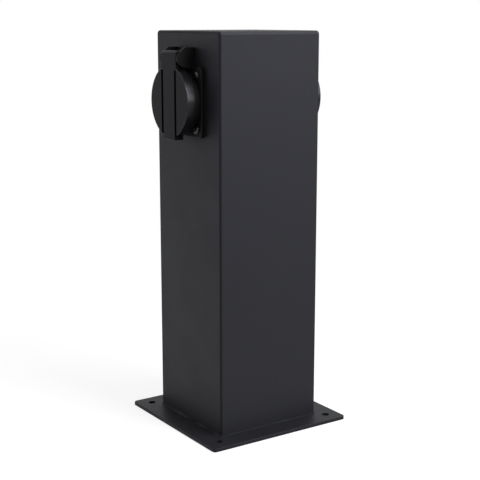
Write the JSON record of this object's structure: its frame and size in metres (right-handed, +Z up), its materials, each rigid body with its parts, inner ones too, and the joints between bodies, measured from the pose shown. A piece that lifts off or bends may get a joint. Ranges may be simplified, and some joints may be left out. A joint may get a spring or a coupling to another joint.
{
  "type": "garden socket post",
  "caption": "Square steel garden post on a bolt-down base plate, with a spring-lidded outdoor power socket on its front and rear faces.",
  "frame": {"origin": "middle of the base plate's underside", "axes": "+Z up along the post, -Y out of the front socket, +Y out of the rear socket"},
  "size_m": [0.12, 0.12, 0.294],
  "materials": {
    "powder_coat": "matt black powder coat",
    "black_plastic": "satin black moulding",
    "seal_rubber": "soft black rubber",
    "zinc_steel": "zinc-plated steel",
    "black_zinc": "black zinc-plated steel",
    "brass": "plain brass",
    "block_plastic": "pale moulding",
    "wire_live": "brown insulation",
    "wire_neutral": "blue insulation",
    "wire_earth": "green and yellow insulation"
  },
  "bodies": {
    "post": {"base_plate": "powder_coat", "column_wrap": "powder_coat", "front_panel": "powder_coat", "rear_panel": "powder_coat", "foot_weld": "powder_coat", "terminal_bracket": "zinc_steel", "terminal_block": "block_plastic", "block_inserts": "brass", "block_clamp_screws": "zinc_steel", "block_fixing_screws": "zinc_steel", "earth_stud": "zinc_steel", "earth_nut": "zinc_steel", "earth_lug": "zinc_steel", "earth_bond_wire": "wire_earth", "front_flange_gasket": "seal_rubber", "front_housing": "black_plastic", "front_flange_screws": "black_zinc", "front_hinge_pin": "zinc_steel", "front_terminal_cover": "black_plastic", "front_cover_screws": "zinc_steel", "front_live_contact": "brass", "front_neutral_contact": "brass", "front_earth_clip": "brass", "front_terminal_screws": "zinc_steel", "front_live_wire": "wire_live", "front_neutral_wire": "wire_neutral", "front_earth_wire": "wire_earth", "rear_flange_gasket": "seal_rubber", "rear_housing": "black_plastic", "rear_flange_screws": "black_zinc", "rear_hinge_pin": "zinc_steel", "rear_terminal_cover": "black_plastic", "rear_cover_screws": "zinc_steel", "rear_live_contact": "brass", "rear_neutral_contact": "brass", "rear_earth_clip": "brass", "rear_terminal_screws": "zinc_steel", "rear_live_wire": "wire_live", "rear_neutral_wire": "wire_neutral", "rear_earth_wire": "wire_earth"},
    "front_lid_body": {"front_lid": "black_plastic", "front_lid_seal": "seal_rubber", "front_lid_spring": "zinc_steel"},
    "rear_lid_body": {"rear_lid": "black_plastic", "rear_lid_seal": "seal_rubber", "rear_lid_spring": "zinc_steel"}
  },
  "joints": [
    {"name": "front_lid_hinge", "type": "hinge", "parent": "post", "child": "front_lid_body", "pos_m": [0, -0.0522, 0.2751], "axis": [-1, 0, 0], "range_deg": [0, 100], "stiffness_Nm_per_rad": 0.02, "springref_deg": -34.38, "deforming": ["front_lid_spring"]},
    {"name": "rear_lid_hinge", "type": "hinge", "parent": "post", "child": "rear_lid_body", "pos_m": [0, 0.0522, 0.2751], "axis": [1, 0, 0], "range_deg": [0, 100], "stiffness_Nm_per_rad": 0.02, "springref_deg": -34.38, "deforming": ["rear_lid_spring"]}
  ]
}
